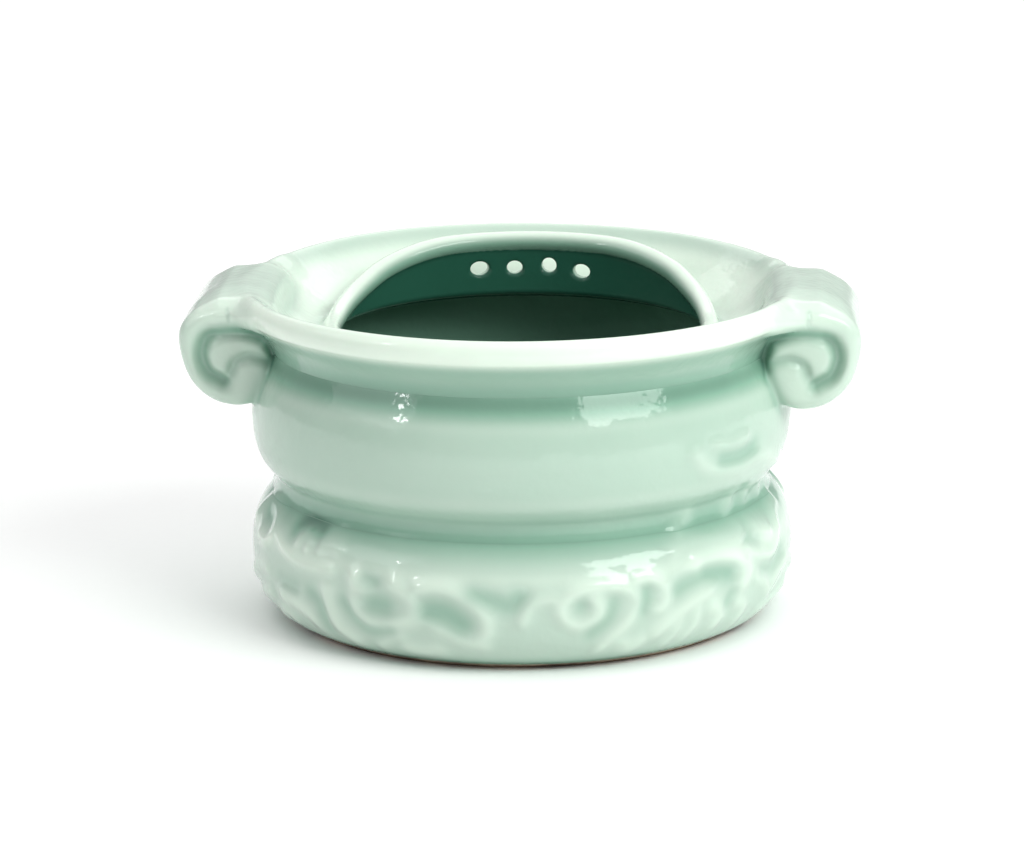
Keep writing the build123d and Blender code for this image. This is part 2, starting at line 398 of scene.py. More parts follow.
# A stroke is its half width, its height and a line of places: millimetres round the wall from the
# middle of the front, positive to the right, and millimetres above the ground.
RIDGES = (
    (1.35, 1, (
        (19.2, 5.2), (22.4, 8.4), (25.4, 12), (26.4, 14.8), (24.8, 17.2), (21.5, 18.3), (17, 18.4),
        (12.8, 17), (10.9, 14.4), (12, 11.8), (14.8, 10.6), (17.6, 11.7), (18.8, 14), (17.6, 16),
    )),
    (1.2, 0.75, ((3.6, 11.6), (4.6, 14.6), (7, 16.3), (10.2, 16.4))),
    (1.5, 0.95, (
        (-17.5, 17.6), (-13.5, 18.3), (-9.5, 17.4), (-6, 15.2), (-3.8, 12.6), (-3.6, 9.4), (-5.2, 7.2),
    )),
    (1.4, 0.85, ((-19, 10.6), (-15.6, 10.9), (-12, 9.2), (-8.6, 7.4), (-4, 6.6))),
    (1.5, 0.9, (
        (-22.5, 17.8), (-19.2, 16), (-18, 13.2), (-19.2, 11), (-23, 9.9), (-27, 9.6), (-30.4, 11),
        (-31.6, 13.6),
    )),
    (1.5, 1, ((-31.8, 18.2), (-31.2, 16.4), (-29.4, 15.9))),
    (1.2, 0.7, ((-21, 7.4), (-24.2, 6.3), (-27, 4))),
    (1.6, 0.8, ((-20.5, 4.6), (-17, 4.2), (-13.5, 4.9))),
    (2.1, 1, ((-38.6, 15), (-37.6, 10.8), (-36.2, 7), (-33.2, 4.6))),
    (2.2, 1, ((-54, 10.4), (-49.5, 9.8), (-45.2, 8.4), (-43.2, 6.6))),
    (1.7, 0.8, ((-59, 4.6), (-56, 6), (-53.5, 5.2))),
    (1.3, 0.95, ((-58.5, 22.4), (-54.5, 20.4), (-50, 18.9), (-44.5, 18.3), (-38, 18.6))),
    (1.2, 0.9, ((-49.5, 22), (-47.8, 23.6), (-45.6, 23.4), (-45.8, 21.8))),
    (1.7, 1, ((-41.4, 22.8), (-39, 23.5), (-37.2, 23.2))),
    (1.4, 0.9, ((-75, 22), (-73, 25), (-68, 26.4), (-62, 25.2), (-59.8, 22), (-63, 19.2), (-68, 19.6))),
    (1.3, 0.8, ((-78, 8), (-73, 11), (-67, 13.6), (-61, 14))),
    (1.5, 0.8, ((-72, 5), (-66, 7.4), (-61, 9))),
    (1.4, 0.9, ((26.5, 19.2), (29.8, 19), (32.4, 17.2), (32.9, 14.4), (31.4, 12.4), (29.6, 12.8))),
    (1.8, 0.95, ((31, 7.2), (34, 9.6), (38, 12.2), (43.2, 14))),
    (1.4, 0.7, ((36.2, 9.4), (35.6, 6), (34.2, 4.2))),
    (1.4, 0.7, ((40.4, 11), (40.2, 7.4), (39, 5))),
    (1.9, 0.9, ((44.6, 10.6), (46.8, 8.6), (46.2, 6.4))),
    (1.8, 0.95, ((24, 5.6), (25.8, 4.6), (27.8, 5.6))),
    (2, 1, ((40.5, 20.6), (46, 21), (51, 20), (54.3, 17.8), (55, 15.4), (53.4, 13.6))),
    (1.6, 0.85, ((35.5, 23.4), (41, 24.2), (47, 23.4), (53, 22.8), (56, 23.6))),
    (1.9, 0.85, ((38, 25), (39, 27.4), (41.4, 28.8))),
    (1.6, 0.8, ((53.6, 28.4), (55.6, 29.4))),
    (1.9, 1, ((61, 23.4), (63.6, 22.8), (66, 21.8))),
    (1.4, 0.95, (
        (56.4, 19.6), (60.5, 18.2), (65, 17.4), (68.4, 19), (70.6, 21.8), (72.6, 24.4), (77, 25.6),
    )),
    (1.4, 0.7, ((58.5, 13.6), (62, 11.6), (64.5, 8.8))),
    (1.5, 0.8, ((66, 10.6), (70, 13), (75.5, 13.8), (80, 11.6))),
    (1.6, 0.7, ((52, 10), (54.5, 8), (54, 5.6))),
    (1.5, 0.7, ((63, 5), (69, 6.4), (76, 7.6))),
    (1.5, 0.7, ((62, 29.4), (66, 30.6), (70.5, 29.8))),
    (1.7, 0.8, ((40.5, 42.2), (42.6, 39.6), (47, 38), (54, 37.4), (60, 38.2), (66, 36.8), (72, 34.8))),
    (1.4, 0.6, ((46, 43.6), (50.5, 42.6), (55, 43.4))),
)
HOLLOWS = (
    (2.6, 0.7, ((-15, 13.2), (-11.5, 12.9), (-8.6, 11))),
    (1.8, 0.55, ((-6, 17.2), (-1.5, 16), (0.6, 15), (3, 16.8))),
    (1.3, 0.5, ((21.6, 14.8), (20.6, 11.6), (17.2, 8.8))),
    (1.1, 0.45, ((14.8, 14.6), (15.4, 14.8))),
    (2.2, 0.6, ((-27.4, 13.4), (-24.6, 13.2))),
    (1.2, 0.5, ((-28.8, 18.6), (-26.6, 18.2))),
    (1.3, 0.5, ((-34.6, 12.8), (-31.4, 9.4), (-28.6, 7.6), (-23.6, 8.2))),
    (1.6, 0.5, ((-44, 12.6), (-41.4, 11), (-40.6, 6))),
    (1.6, 0.6, ((-52.6, 22.8), (-51.6, 24.6), (-48, 25.6), (-43.6, 24.9))),
    (1.8, 0.5, ((-68, 22.8), (-64.6, 22.8))),
    (1.7, 0.4, ((-55, 13), (-49, 12.8))),
    (1.6, 0.6, ((28.4, 16.2), (28, 13))),
    (1.7, 0.55, ((35.6, 15.6), (38, 16.6), (42, 17.6))),
    (2.2, 0.75, ((43, 17.9), (46.4, 17.4), (49.6, 16.4))),
    (1.3, 0.45, ((50.6, 12.2), (48.8, 10))),
    (1.5, 0.45, ((56.6, 21.8), (58.4, 20.8), (60, 20.6))),
    (1.4, 0.4, ((61, 14.6), (66, 14.6), (71, 16.4))),
    (1.9, 0.5, ((48, 40.2), (53, 40), (58, 40.6))),
)
HALF_ROUND = math.pi * BELLY_RADIUS
RELIEF_TOP = 46.0


def stroke_field(strokes):
    """Relief of a set of strokes over the wall: each is a round bump across its line, and where
    strokes meet the higher one wins. The set is repeated half way round the pot, at the back."""

    def measure(along, height):
        result = np.zeros_like(along)
        for width, rise, places in strokes:
            line = curve_through(places, 6 * len(places))
            for shift in (0, HALF_ROUND, -HALF_ROUND):
                low, high = line.min(0) - 3 * width, line.max(0) + 3 * width
                near = (along > low[0] + shift) & (along < high[0] + shift)
                near &= (height > low[1]) & (height < high[1])
                away = line_distance(line, along[near] - shift, height[near])
                result[near] = np.maximum(result[near], rise * np.exp(-((away / width) ** 2) * 0.9))
        return result

    return measure


def stroke_map(strokes):
    """The strokes' relief at each place of the wall, blurred as a mould's print is under its glaze."""
    drawn = stroke_field(strokes)

    def measure(along, height):
        raised = drawn(along, height)
        for axis in (0, 1):
            for _ in range(8):
                raised = (np.roll(raised, 1, axis) + 2 * raised + np.roll(raised, -1, axis)) / 4
        return raised

    edge, step = HALF_ROUND + 2, 0.3
    return table_of(measure, (-edge, -1.0), (edge, RELIEF_TOP + 2), step)


RIDGE_MAP, HOLLOW_MAP = stroke_map(RIDGES), stroke_map(HOLLOWS)


def clouds_at(turn, height):
    """Ridges and hollows at an angle from +X and a height, faded out at the foot and at the top."""
    along = (np.mod(turn + np.pi / 2 + np.pi, 2 * np.pi) - np.pi) * BELLY_RADIUS
    fade = smooth(FOOT_HEIGHT, FOOT_HEIGHT + 2.4, height) * (1 - smooth(RELIEF_TOP - 2, RELIEF_TOP, height))
    height = np.clip(height, 0, RELIEF_TOP)
    return RIDGE_MAP(along, height) * fade, HOLLOW_MAP(along, height) * fade


def relief_at(turn, height):
    """Height of the clouds over the plain wall, as a share of their full height."""
    ridges, hollows = clouds_at(turn, height)
    return ridges - 0.8 * hollows


# ---- Lines of the pot ----


def places(radius, height, *offsets):
    """Points of a line, given by how far out and how far up they are from a radius and a height."""
    return [(radius + out, height + up) for out, up in offsets]


def lower_line():
    """Outside of the lower section, from the foot ring up to the seam."""
    points = [(FOOT_RADIUS, FOOT_HEIGHT)]
    points += places(BELLY_RADIUS, 0, (-3.3, 2.8), (-0.6, 6.6), (0.6, 10.6), (0.9, 14.5))
    points += places(BELLY_RADIUS, 0, (0.7, 18.0), (-0.1, 21.2), (-1.5, 23.9))
    return curve_through(points + [(SEAM_RADIUS, SEAM_Z)], 110)


def upper_line():
    """Outside of the upper section, from the seam over the groove and the drum to the neck."""
    points = [(SEAM_RADIUS, SEAM_Z)]
    points += places(DRUM_RADIUS, SEAM_Z, (-4.1, 1.5), (-4.0, 3.5), (-2.6, 5.2))
    points += places(DRUM_RADIUS, SEAM_Z, (-0.9, 7.6), (0.2, 11.0), (0.6, 15.0))
    points += places(DRUM_RADIUS, NECK_Z, (0.5, -11.5), (0, -8.2), (-0.95, -5.4), (-2.2, -2.7))
    return curve_through(points + [(NECK_RADIUS, NECK_Z)], 110)


def rim_line():
    """Outside of the rim, from the neck up the cove, round the bead and down the dish."""
    points = places(NECK_RADIUS, NECK_Z, (0, 0), (0.7, 1.9), (2.3, 4.3))
    points += places(RIM_RADIUS, RIM_TOP, (-1.7, -5.6), (-0.45, -4.4), (0, -2.8), (-0.45, -1.0))
    points += places(RIM_RADIUS, RIM_TOP, (-1.6, 0), (-3.0, -0.5), (-5.4, -2.5), (-9.0, -5.6))
    points += places(RIM_RADIUS, GUTTER_Z, (-13.0, 1.0))
    points += places(COLLAR_RADIUS, GUTTER_Z, (2.2, 0), (0, 0))
    return curve_through(points, 190)


def under_line():
    """Underside of the dish, from the foot of the collar out to the neck's inside."""
    points = places(COLLAR_RADIUS, COLLAR_FOOT, (0, 0), (3.2, 0.5))
    points += [(NECK_RADIUS - 5.0, COLLAR_FOOT + 0.8), (NECK_RADIUS - 3.0, NECK_Z)]
    return curve_through(points, 24)


def handle_side(x, y):
    """1 over a handle's lug, 0 elsewhere."""
    return (1 - smooth(12.0, 19.5, np.abs(y))) * smooth(30, 40, np.abs(x))


def settle(x, y):
    """Share of the rim's height that is taken away: more over the lugs, less than none at the back."""
    raised = (0.75 - 0.35 * x / RIM_RADIUS) * smooth(8, 50, y)
    return (0.5 * handle_side(x, y) - raised) / (RIM_TOP - SETTLE_Z)


def body_field():
    """The pot's outer shape as a field: signed distance to its turned outline, with the rim's
    height let down over the lugs."""
    outline = np.vstack([upper_line(), rim_line()[1:], [(0, GUTTER_Z), (0, SEAM_Z)]])
    table = table_of(partial(loop_distance, outline), (30, 36), (78, 80), TABLE_STEP)

    def field(x, y, z):
        part = settle(x, y)
        stretched = np.where(z > SETTLE_Z, SETTLE_Z + (z - SETTLE_Z) / (1 - part), z)
        return table(np.hypot(x, y), stretched)

    return field


def dish_field():
    """The rim with its dish as a solid of its own, between the dish and its underside."""
    outline = np.vstack([rim_line(), under_line()])
    return table_of(partial(loop_distance, outline), (26, 48), (66, 82), TABLE_STEP)


# ---- Handles ----

HANDLE_X = float(HANDLE_LOW[0] + HANDLE_HIGH[0]) / 2
HANDLE_Z = float(HANDLE_LOW[2] + HANDLE_HIGH[2]) / 2
HANDLE_HALF = float(HANDLE_HIGH[1])


# Lines of the handle's end face, in millimetres from its middle: outwards from the pot, and up.
BARREL = (
    (0.6, 10.2), (5.6, 8.8), (9.1, 4.5), (9.3, -1.0), (7.5, -6.6), (3.5, -10.4), (-1.8, -11.6),
    (-6.2, -10.0), (-9.0, -5.8), (-10.4, -0.5), (-10.2, 4.4), (-7.2, 8.6), (-3.0, 10.1), (0.6, 10.2),
)
BROAD_GROOVE = (
    (-12.4, 0.4), (-8.6, 3.2), (-4.4, 4.4), (-0.4, 4.4), (3.3, 3.0), (4.9, -0.6), (3.9, -4.3), (0.8, -6.2),
)
NARROW_GROOVE = (
    (0.8, -6.2), (-0.8, -4.4), (-2.0, -2.2), (-4.4, -1.0), (-7.0, -1.2), (-9.6, -2.0), (-12.0, -3.0),
)
NICK = ((-1.6, 5.4), (-1.4, 9.0))
RECESS = ((-10.8, -2.6), (-9.6, 3.0))


def handle_tables():
    """Distances in the handle's end face: to the barrel's outline, and to the lines of its carving."""
    middle = (HANDLE_X, HANDLE_Z)
    low, high = (HANDLE_X - 16, HANDLE_Z - 18), (HANDLE_X + 18, HANDLE_Z + 18)
    barrel = curve_through(np.add(BARREL, middle), 140)[:-1]
    grooves = [curve_through(np.add(line, middle), 60) for line in (BROAD_GROOVE, NARROW_GROOVE)]
    cuts = [np.add(line, middle) for line in (NICK, RECESS)]
    measures = [partial(loop_distance, barrel)] + [partial(line_distance, line) for line in grooves + cuts]
    return [table_of(measure, low, high, TABLE_STEP) for measure in measures]


def rounded(faces, radius):
    """Field of a solid with round edges, from the fields of its faces, each let in by the radius."""
    outside = np.sqrt(sum(np.maximum(face, 0) ** 2 for face in faces))
    return outside + np.minimum(np.maximum.reduce(faces), 0) - radius


def handle_fields(side, tables):
    """The handle on one side as a field, and how deep its carving is at each place.

    The barrel is its outline carried from front to back and closed by two faces. The faces are let
    in along the spiral, by a round groove, and the edges between barrel and faces are rounded. A
    lug with round edges carries the dish over to the barrel's top, and a short round bar at each
    end of it carries the rim's bead.
    """
    outline, broad_groove, narrow_groove, nick, recess = tables
    shape = bpy.context.scene.brush_pot_shape

    def outwards(x, z):
        """Place across the handle, on either side of the pot: the handle leans out as it rises."""
        return side * x - 0.5 * side - 0.06 * (z - HANDLE_Z)

    def carving(x, z):
        broad = hump(broad_groove(x, z), 0, 1.65)
        narrow = 0.55 * hump(narrow_groove(x, z), 0, 1.35)
        notch = 0.4 * hump(nick(x, z), 0, 0.6)
        hollow = 1.25 * hump(recess(x, z), 0, 1.9)
        return np.maximum(-soft_union(soft_union(-broad, -narrow, 0.4), -hollow, 0.4), notch)

    def field(x, y, z):
        x = outwards(x, z)
        bow = 0.9 * smooth(6.0, HANDLE_HALF, -y)
        z = z + bow * smooth(HANDLE_Z, RIM_TOP, z)
        edge, lug_edge = 2.8, 3.2
        end_face = np.abs(y) - HANDLE_HALF + shape.groove_depth * carving(x, z)
        body = rounded([outline(x, z) + edge, end_face + edge], edge)
        lug_faces = [
            np.abs(x - HANDLE_X + 3.6) - 6.4 + lug_edge,
            np.abs(y) - 17.0 + lug_edge,
            np.abs(z - RIM_TOP + 4.2) - 3.7 + lug_edge,
        ]
        lug = rounded(lug_faces, lug_edge)
        start, end = np.array((51.6, 21.5, RIM_TOP - 3.2)), np.array((57.6, 15.2, RIM_TOP - 4.0))
        step = end - start
        from_start = [v - a for v, a in zip((x, np.abs(y), z), start)]
        share = np.clip(sum(f * d for f, d in zip(from_start, step)) / (step @ step), 0, 1)
        beside = [f - share * d for f, d in zip(from_start, step)]
        run_out = np.sqrt(sum(b**2 for b in beside)) - 2.3
        return soft_union(soft_union(body, lug, 5.0), run_out, 2.4)

    def depth(x, y, z):
        return carving(outwards(x, z), z) * smooth(HANDLE_HALF - 5.0, HANDLE_HALF - 1.5, np.abs(y))

    return field, depth


def junction_glaze_and_painted_shade(x, y, z, body, part):
    """Glaze that gathers where a luted piece meets the body, with painted shade under the handles, fading
    over a few millimetres.
    """
    below = 1 - smooth(RIM_TOP - 8, RIM_TOP - 3.5, z)
    return 0.8 * below * hump(np.abs(body(x, y, z)) + np.maximum(part(x, y, z), 0), 0, 2.2)


def wall_glaze_and_painted_shade(height):
    """Glaze depth up the outside: deep at the foot, the seam and the neck, thin on the swells' edges. Below
    the neck the band is also darkened as painted shade under the rim.
    """
    from_seam, from_neck = height - SEAM_Z, height - NECK_Z
    foot = 1.1 * hump(height, FOOT_HEIGHT, 1.5)
    seam = 0.4 * np.exp(-np.abs(from_seam) / 1.5) + 0.62 * hump(from_seam, 1.2, 4.3)
    # Below the neck the band is darkened as painted shade under the rim, over the glaze that gathers in the
    # crease.
    neck = 1.12 * hump(from_neck, -1.3, 3.1)
    swells = 0.3 * hump(from_seam, -6.5, 1.8) + 0.22 * hump(from_neck, -5.6, 1.3)
    swells = swells + 0.16 * hump(from_seam, 8.4, 1.5)
    band = 0.22 * (1 - smooth(SEAM_Z - 4.5, SEAM_Z - 1.5, height))
    return 0.2 + foot + seam + neck - swells - band


def outside_glaze_and_painted_light(x, y, z):
    """Glaze depth on the body's plain outside: thin on the bead, deep in the gutter of the dish. The cove
    under the bead and the drum beside the handles get painted shade, and the dish is made paler as painted
    light.
    """
    radius = np.hypot(x, y)
    bead = hump(radius, RIM_RADIUS - 0.6, 2.0) * smooth(NECK_Z + 5, NECK_Z + 8, z)
    gutter = hump(radius, COLLAR_RADIUS, 2.6) * smooth(NECK_Z, NECK_Z + 2, z)
    # Painted light: the dish is made paler where light falls on it from above.
    above_cove = z - NECK_Z - 1 - 6 * smooth(RIM_RADIUS - 8, RIM_RADIUS - 5.5, radius)
    dish = (1 - smooth(RIM_RADIUS - 7, RIM_RADIUS - 2.5, radius)) * smooth(0, 2, above_cove)
    # Painted shade: the cove under the overhanging bead is darkened.
    cove = smooth(RIM_RADIUS - 8.4, RIM_RADIUS - 7.2, radius) * smooth(NECK_Z - 0.5, NECK_Z + 2.5, z)
    cove = cove * (1 - smooth(RIM_TOP - 6.5, RIM_TOP - 4.2, z))
    return wall_glaze_and_painted_shade(z) - 1.1 * bead + 0.6 * gutter - 0.95 * dish + 0.38 * cove + glaze_and_painted_shade_near_handles(x, y, z)


def glaze_and_painted_shade_near_handles(x, y, z):
    """Glaze that gathers on the body beside both handles, with painted shade below them."""
    result = 0 * x
    body = FIELDS["body"]
    nearest, widest, lowest = 40, 32, 40
    near = (np.abs(x) > nearest) & (np.abs(y) < widest) & (z > lowest)
    if near.any():
        for side in (1, -1):
            spot = near & (side * x > 0)
            result[spot] = junction_glaze_and_painted_shade(x[spot], y[spot], z[spot], body, FIELDS[side][0])
    return result


FIELDS = {}


def prepare_fields():
    """Works out the fields that several pieces share."""
    FIELDS["body"] = body_field()
    tables = handle_tables()
    for side in (1, -1):
        FIELDS[side] = handle_fields(side, tables)


def outside_line(line, rise):
    """A line on the outside: the clouds are added to its radius, and the glaze follows them."""

    def read(turn):
        radius, height = line[:, :1], line[:, 1:]
        ridges, hollows = clouds_at(turn, height + 0 * turn)
        place = radius + rise * (ridges - 0.8 * hollows)
        x, y = place * np.cos(turn), place * np.sin(turn)
        glaze_depth_and_painted_light = wall_glaze_and_painted_shade(height) - 0.45 * ridges + 1.25 * hollows + glaze_and_painted_shade_near_handles(x, y, height + 0 * x)
        return place, height, glaze_depth_and_painted_light

    return read


def inside_line(line, ghost):
    """A line on the inside: a faint print of the clouds, and deep glaze darkened further as painted shade
    inside the pot.
    """

    def read(turn):
        radius, height = line[:, :1], line[:, 1:]
        fade = smooth(line[:, 1].min() + 1, line[:, 1].min() + 4, height)
        fade = fade * (1 - smooth(line[:, 1].max() - 4, line[:, 1].max() - 1, height))
        return radius + ghost * fade * relief_at(turn, height + 0 * turn), height, 1.35 + 0 * turn

    return read


def end_line(start, end, rise):
    """A hidden line that crosses the wall, level with the clouds at its outer end."""
    share = np.linspace(0, 1, 4)[:, None]
    line = np.array(start) * (1 - share) + np.array(end) * share
    inwards = start[0] > end[0]
    outer = 1 - share if inwards else share
    level = start[1] if inwards else end[1]

    def read(turn):
        height = line[:, 1:]
        radius = line[:, :1] + rise * outer * relief_at(turn, level + 0 * turn)
        return radius, height, wall_glaze_and_painted_shade(level) + 0 * turn

    return read


def plain_line(line, glaze_depth_and_painted_light):
    """A line with no clouds and one depth of glaze."""

    def read(turn):
        return line[:, :1] + 0 * turn, line[:, 1:], glaze_depth_and_painted_light + 0 * turn

    return read


# ---- Materials ----


def add_node(tree, kind, inputs=None, links=None, **settings):
    """Adds a node, sets its settings and socket values, and links other nodes' outputs to it."""
    node = tree.nodes.new(kind)
    for key, value in settings.items():
        setattr(node, key, value)
    for key, value in (inputs or {}).items():
        node.inputs[key].default_value = value
    for key, output in (links or {}).items():
        tree.links.new(output, node.inputs[key])
    return node


def new_material(name):
    """An empty material with its output, and its Object coordinates."""
    material = bpy.data.materials.new(name)
    material.use_nodes = True
    tree = material.node_tree
    tree.nodes.clear()
    output = add_node(tree, "ShaderNodeOutputMaterial")
    place = add_node(tree, "ShaderNodeTexCoord")
    return material, tree, output, place.outputs["Object"]


def per_metre(millimetres):
    """Scale of a texture whose features are that many millimetres apart."""
    return 1000.0 / millimetres


def glaze_material():
    """Celadon glaze on porcelain, fired in reduction: a clear iron-green glass about half a
    millimetre thick, pale where it runs thin over an edge and deep green where it pools."""
    glaze = bpy.context.scene.brush_pot_glaze
    material, tree, output, place = new_material("celadon_glaze_on_porcelain")
    # The attribute holds the depth of the glaze with painted light and shade added: painted shade darkens the
    # inside, the cove, the neck and under the collar's lip, and painted light pales the dish.
    depth = add_node(tree, "ShaderNodeAttribute", attribute_name="glaze_depth_and_painted_light")
    # Clouding of the glaze 22 mm apart, throwing waves 9 mm apart and orange peel 1.6 mm apart.
    cloudy, waves, peel = (
        add_node(
            tree,
            "ShaderNodeTexNoise",
            {"Scale": per_metre(spacing), "Detail": detail, "Roughness": roughness},
            {"Vector": place},
        ).outputs["Fac"]
        for spacing, detail, roughness in ((22, 3.0, 0.55), (9, 1.0, 0.4), (1.6, 1.0, 0.4))
    )
    shifted = add_node(tree, "ShaderNodeMath", {1: 0.22}, {0: cloudy}, operation="MULTIPLY")
    level = add_node(
        tree, "ShaderNodeMath", None, {0: depth.outputs["Fac"], 1: shifted.outputs[0]}, operation="ADD"
    )
    ramp = add_node(
        tree,
        "ShaderNodeMapRange",
        {"From Min": -0.9, "From Max": 2.1, "To Min": 0.0, "To Max": 1.0},
        {"Value": level.outputs[0]},
    )
    colour = add_node(tree, "ShaderNodeValToRGB", None, {"Fac": ramp.outputs[0]})
    stops = colour.color_ramp.elements
    stops[0].position, stops[0].color = 0.0, glaze.thin
    stops[1].position, stops[1].color = 1.0, glaze.inside
    for position, value in ((0.31, glaze.even), (0.68, glaze.pooled)):
        stops.new(position).color = value
    throwing = add_node(tree, "ShaderNodeBump", {"Strength": 0.5, "Distance": 0.0003}, {"Height": waves})
    orange_peel = add_node(
        tree,
        "ShaderNodeBump",
        {"Strength": 0.6, "Distance": 0.0001},
        {"Height": peel, "Normal": throwing.outputs["Normal"]},
    )
    gloss = add_node(
        tree,
        "ShaderNodeMapRange",
        {"From Min": 0.3, "From Max": 0.7, "To Min": 0.05, "To Max": 0.10},
        {"Value": cloudy},
    )
    shader = add_node(
        tree,
        "ShaderNodeBsdfPrincipled",
        {
            "IOR": 1.5,
            "Subsurface Weight": 0.12,
            "Subsurface Radius": (0.0010, 0.0016, 0.0013),
            "Subsurface Scale": 1.0,
        },
        {
            "Base Color": colour.outputs["Color"],
            "Roughness": gloss.outputs[0],
            "Normal": orange_peel.outputs["Normal"],
        },
    )
    tree.links.new(shader.outputs[0], output.inputs["Surface"])
    return material


def biscuit_material():
    """Bare porcelain of the foot, wiped clean of glaze and ground flat: matt, sandy and browned."""
    glaze = bpy.context.scene.brush_pot_glaze
    material, tree, output, place = new_material("biscuit_porcelain")
    # Sandy grain 0.7 mm apart and kiln stains 14 mm apart.
    grain, stain = (
        add_node(
            tree,
            "ShaderNodeTexNoise",
            {"Scale": per_metre(spacing), "Detail": detail, "Roughness": 0.6},
            {"Vector": place},
        ).outputs["Fac"]
        for spacing, detail in ((0.7, 4.0), (14, 3.0))
    )
    colour = add_node(tree, "ShaderNodeValToRGB", None, {"Fac": stain})
    stops = colour.color_ramp.elements
    stops[0].position, stops[0].color = 0.38, glaze.scorch
    stops[1].position, stops[1].color = 0.62, glaze.biscuit
    bump = add_node(tree, "ShaderNodeBump", {"Strength": 0.6, "Distance": 0.0002}, {"Height": grain})
    shader = add_node(
        tree,
        "ShaderNodeBsdfPrincipled",
        {"Roughness": 0.85},
        {"Base Color": colour.outputs["Color"], "Normal": bump.outputs["Normal"]},
    )
    tree.links.new(shader.outputs[0], output.inputs["Surface"])
    return material


def sweep_material():
    """White paper sweep: matt, with no pattern that shows."""
    material, tree, output, place = new_material("paper_sweep")
    fibres = add_node(tree, "ShaderNodeTexNoise", {"Scale": per_metre(2), "Detail": 2.0}, {"Vector": place})
    colour = add_node(tree, "ShaderNodeValToRGB", None, {"Fac": fibres.outputs["Fac"]})
    stops = colour.color_ramp.elements
    stops[0].color, stops[1].color = linear("#FDFDFD"), linear("#FFFFFF")
    shader = add_node(
        tree, "ShaderNodeBsdfPrincipled", {"Roughness": 0.9}, {"Base Color": colour.outputs["Color"]}
    )
    tree.links.new(shader.outputs[0], output.inputs["Surface"])
    return material


def shared(name, make):
    """The material of that name, made on first use."""
    return bpy.data.materials.get(name) or make()


def glaze_of():
    return shared("celadon_glaze_on_porcelain", glaze_material)


def finish_piece(piece, slot, *nodes):
    """Hands the piece to the frame: attaches it to the root body and hides the solids it stands for. Its
    finish, the slot, is not used.
    """
    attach(piece, "root")
    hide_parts(*nodes)


# ---- Operators ----


class BRUSHPOT_OT_foot_ring(bpy.types.Operator):
    """Unglazed foot ring: a flat ring with softened edges and a flared side"""

    bl_idname = "brushpot.foot_ring"
    bl_label = "Foot Ring"

    def execute(self, context):
        inner = COLLAR_RADIUS + 0.8
        outer = FOOT_RADIUS - 2.0
        start, end = (inner, FOOT_HEIGHT), (FOOT_RADIUS, FOOT_HEIGHT)
        bottom = curve_through(
            [start, (inner + 0.15, 0.3), (inner + 0.6, 0.0), (outer - 0.5, 0.0), (outer, 0.15), end], 40
        )
        top = curve_through([end, start], 6)
        lines = [plain_line(bottom, 0.0), plain_line(top, 0.0)]
        piece = turned_piece("foot_ring_biscuit", lines, 360, shared("biscuit_porcelain", biscuit_material))
        finish_piece(piece, "biscuit_foot", "foot_ring")
        return {"FINISHED"}


class BRUSHPOT_OT_floor_disc(bpy.types.Operator):
    """Floor of the pot: a disc, glazed above and below, that rises a little to the wall"""

    bl_idname = "brushpot.floor_disc"
    bl_label = "Floor"

    def execute(self, context):
        low, high = FOOT_HEIGHT, FLOOR_TOP
        bottom = curve_through([(0, low), (FLOOR_RADIUS * 0.5, low), (FLOOR_RADIUS, low)], 30)
        edge = curve_through([(FLOOR_RADIUS, low), (FLOOR_RADIUS, high)], 4)
        top = curve_through([(FLOOR_RADIUS, high), (FLOOR_RADIUS - 8, high - 0.1), (0, high - 0.3)], 40)
        # The floor's top takes the dark inside colour: deep glaze, and painted shade inside the pot.
        lines = [plain_line(bottom, 0.9), plain_line(edge, 1.0), plain_line(top, 2.0)]
        piece = turned_piece("floor_disc_glazed", lines, 180, glaze_of())
        finish_piece(piece, "celadon_glaze_inside", "floor_disc")
        return {"FINISHED"}


class BRUSHPOT_OT_lower_section(bpy.types.Operator):
    """Lower section: the bulging wall with its moulded clouds"""

    bl_idname = "brushpot.lower_section"
    bl_label = "Lower Section"

    def execute(self, context):
        shape = context.scene.brush_pot_shape
        wall, high = shape.wall, FLOOR_TOP
        inner = curve_through(
            [
                (SEAM_RADIUS - wall, SEAM_Z),
                (BELLY_RADIUS - 1.2 - wall, 21.2),
                (BELLY_RADIUS - wall, 14.5),
                (BELLY_RADIUS - 1.4 - wall, 8.4),
                (BELLY_RADIUS - 4.6 - wall, 5.2),
                (FLOOR_RADIUS, high),
            ],
            60,
        )
        lines = [
            outside_line(lower_line(), shape.relief),
            end_line((SEAM_RADIUS, SEAM_Z), (SEAM_RADIUS - wall, SEAM_Z), shape.relief),
            inside_line(inner, shape.ghost),
            plain_line(np.array([(FLOOR_RADIUS, high), (FLOOR_RADIUS, FOOT_HEIGHT)]), 1.0),
            plain_line(np.linspace((FLOOR_RADIUS, FOOT_HEIGHT), (FOOT_RADIUS, FOOT_HEIGHT), 5), 0.5),
        ]
        columns = 900
        piece = turned_piece("lower_section_clouds", lines, columns, glaze_of())
        finish_piece(piece, "celadon_glaze", "lower_section")
        return {"FINISHED"}


class BRUSHPOT_OT_upper_section(bpy.types.Operator):
    """Upper section: the waist groove, the drum and the drawn-in neck"""

    bl_idname = "brushpot.upper_section"
    bl_label = "Upper Section"

    def execute(self, context):
        shape = context.scene.brush_pot_shape
        line = upper_line()
        inner = np.vstack([line[::-2], line[:1]]) - np.array([[shape.wall, 0.0]])
        lines = [
            outside_line(line, shape.relief),
            plain_line(np.linspace(line[-1], inner[0], 4), wall_glaze_and_painted_shade(NECK_Z)),
            inside_line(inner, shape.ghost),
            end_line(tuple(inner[-1]), tuple(line[0]), shape.relief),
        ]
        piece = turned_piece("upper_section_drum", lines, 600, glaze_of())
        finish_piece(piece, "celadon_glaze", "upper_section")
        return {"FINISHED"}


